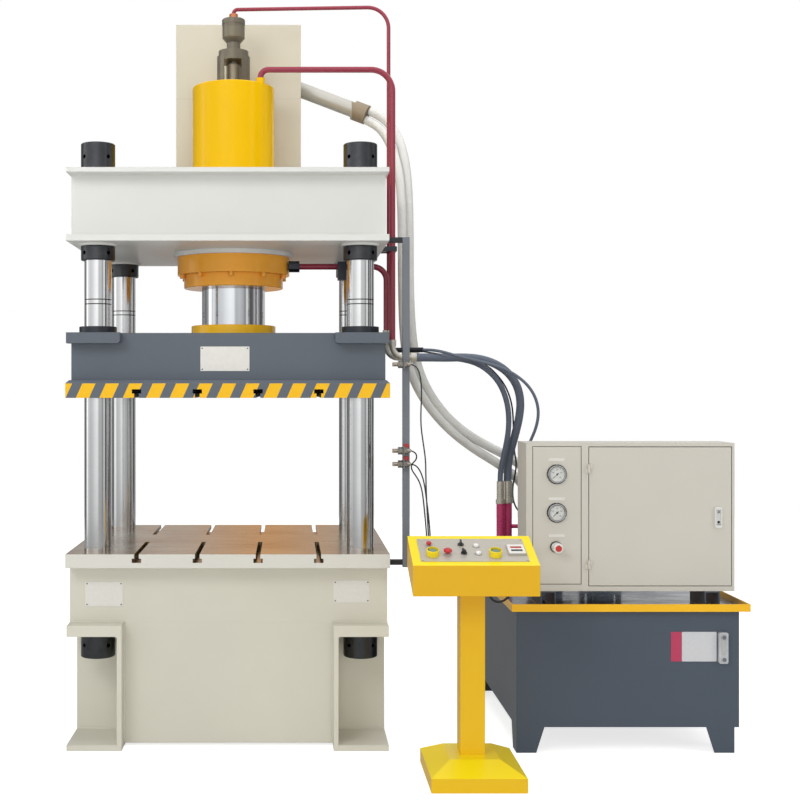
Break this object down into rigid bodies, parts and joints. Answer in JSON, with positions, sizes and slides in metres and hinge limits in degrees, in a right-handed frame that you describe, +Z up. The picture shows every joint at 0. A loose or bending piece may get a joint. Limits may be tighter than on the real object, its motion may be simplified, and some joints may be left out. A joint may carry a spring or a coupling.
{
  "type": "hydraulic press",
  "caption": "Column-type hydraulic press with a slotted table and a sliding platen, a separate oil power unit with cabinet and motor, and a push-button pedestal, joined by hoses.",
  "frame": {"origin": "on the floor under the middle of the press's table", "axes": "+X to the right along the press front towards the power unit, +Y to the rear, +Z up"},
  "size_m": [2.936, 1.711, 3.377],
  "materials": {
    "base_paint": "semi-gloss",
    "ivory_paint": "semi-gloss",
    "slate_paint": "semi-gloss",
    "mast_paint": "semi-gloss",
    "cylinder_yellow": "gloss",
    "red_paint": "semi-gloss",
    "valve_paint": "semi-gloss",
    "rim_yellow": "semi-gloss",
    "lid_black": "gloss",
    "motor_paint": "semi-gloss",
    "cabinet_paint": "semi-gloss",
    "console_yellow": "semi-gloss",
    "machined_steel": "machined",
    "dark_steel": "blackened",
    "chromed_steel": "polished",
    "panel_aluminium": "satin",
    "hose_rubber": "matt",
    "clear_hose": "glossy",
    "cable_black": "matt",
    "gauge_black": "satin",
    "white_plastic": "satin",
    "green_plastic": "gloss",
    "red_plastic": "gloss",
    "yellow_plastic": "gloss",
    "black_plastic": "satin"
  },
  "bodies": {
    "frame": {"base_frame": "base_paint", "table_plate": "machined_steel", "crosshead": "ivory_paint", "columns": "machined_steel", "column_nuts": "dark_steel", "cylinder_barrel": "cylinder_yellow", "gland_ring": "cylinder_yellow", "flange_bolts": "cylinder_yellow", "prefill_body": "valve_paint", "prefill_cap": "valve_paint", "fill_tank": "base_paint", "return_hose_1": "clear_hose", "return_hose_2": "clear_hose", "pilot_pipe": "red_paint", "pressure_pipe": "red_paint", "rod_pipe": "red_paint", "line_fittings": "dark_steel", "hose_fittings": "machined_steel", "main_hose_1": "hose_rubber", "main_hose_2": "hose_rubber", "pilot_hose": "hose_rubber", "sensor_mast": "mast_paint", "proximity_sensors": "machined_steel", "sensor_cable_1": "cable_black", "sensor_cable_2": "cable_black", "sensor_cable_3": "cable_black", "signal_cable": "cable_black", "console_cable": "cable_black", "tank_shell": "slate_paint", "tank_lid": "lid_black", "drip_rim": "rim_yellow", "level_gauge": "panel_aluminium", "motor": "motor_paint", "pump": "dark_steel", "valve_manifold": "dark_steel", "supply_pipes": "red_paint", "cabinet_shell": "cabinet_paint", "cabinet_gear": "cabinet_paint", "pressure_gauges": "gauge_black", "console_stand": "console_yellow", "console_box": "console_yellow", "console_panel": "panel_aluminium", "button_shrouds": "yellow_plastic"},
    "press_slide": {"platen": "slate_paint", "guide_bushes": "dark_steel", "ram": "chromed_steel", "ram_collar": "cylinder_yellow"},
    "prefill_valve": {"prefill_poppet": "machined_steel"},
    "rotor": {"motor_rotor": "machined_steel"},
    "door": {"cabinet_door": "cabinet_paint"},
    "lock_handle": {"door_handle": "chromed_steel"},
    "needle_1": {"gauge_needle_1": "black_plastic"},
    "needle_2": {"gauge_needle_2": "black_plastic"},
    "knob": {"pressure_knob": "white_plastic"},
    "green_left": {"green_button_left": "green_plastic"},
    "green_right": {"green_button_right": "green_plastic"},
    "stop": {"stop_button": "red_plastic"},
    "reset": {"reset_button": "red_plastic"},
    "left_selector": {"selector_left": "black_plastic"},
    "right_selector": {"selector_right": "black_plastic"}
  },
  "joints": [
    {"name": "press_slide", "type": "slide", "parent": "frame", "child": "press_slide", "axis": [0, 0, 1], "range_m": [-0.55, 0.05]},
    {"name": "prefill_valve_slide", "type": "slide", "parent": "frame", "child": "prefill_valve", "axis": [0, 0, 1], "range_m": [-0.03, 0], "stiffness_N_per_m": 6000, "springref_m": 0.02},
    {"name": "rotor_spin", "type": "hinge", "parent": "frame", "child": "rotor", "pos_m": [1.77, 0.09, 0.9], "axis": [0, 0, 1], "continuous": true},
    {"name": "door_hinge", "type": "hinge", "parent": "frame", "child": "door", "pos_m": [1.5595, -0.5685, 1], "axis": [0, 0, -1], "range_deg": [0, 105]},
    {"name": "handle_hinge", "type": "hinge", "parent": "door", "child": "lock_handle", "pos_m": [2.118, -0.56675, 1.0345], "axis": [-1, 0, 0], "range_deg": [0, 45]},
    {"name": "needle_1_turn", "type": "hinge", "parent": "frame", "child": "needle_1", "pos_m": [1.421, -0.565, 1.192], "axis": [0, 1, 0], "range_deg": [0, 270], "stiffness_Nm_per_rad": 0.002, "springref_deg": -11.46},
    {"name": "needle_2_turn", "type": "hinge", "parent": "frame", "child": "needle_2", "pos_m": [1.421, -0.565, 1.026], "axis": [0, 1, 0], "range_deg": [0, 270], "stiffness_Nm_per_rad": 0.002, "springref_deg": -11.46},
    {"name": "knob_turn", "type": "hinge", "parent": "frame", "child": "knob", "pos_m": [1.417, -0.58, 0.878], "axis": [0, 1, 0], "range_deg": [-360, 360]},
    {"name": "green_left_press", "type": "slide", "parent": "frame", "child": "green_left", "axis": [0, 0.3469, -0.9379], "range_m": [0, 0.004], "stiffness_N_per_m": 500, "springref_m": -0.004},
    {"name": "green_right_press", "type": "slide", "parent": "frame", "child": "green_right", "axis": [0, 0.3469, -0.9379], "range_m": [0, 0.004], "stiffness_N_per_m": 500, "springref_m": -0.004},
    {"name": "reset_press", "type": "slide", "parent": "frame", "child": "reset", "axis": [0, 0.3469, -0.9379], "range_m": [0, 0.004], "stiffness_N_per_m": 300, "springref_m": -0.004},
    {"name": "stop_press", "type": "slide", "parent": "frame", "child": "stop", "axis": [0, 0.3469, -0.9379], "range_m": [0, 0.006]},
    {"name": "left_selector_turn", "type": "hinge", "parent": "frame", "child": "left_selector", "pos_m": [0.959, -0.90025, 0.92524], "axis": [0, -0.3469, 0.9379], "range_deg": [-45, 45]},
    {"name": "right_selector_turn", "type": "hinge", "parent": "frame", "child": "right_selector", "pos_m": [0.963, -0.96871, 0.89992], "axis": [0, -0.3469, 0.9379], "range_deg": [-45, 45]}
  ]
}
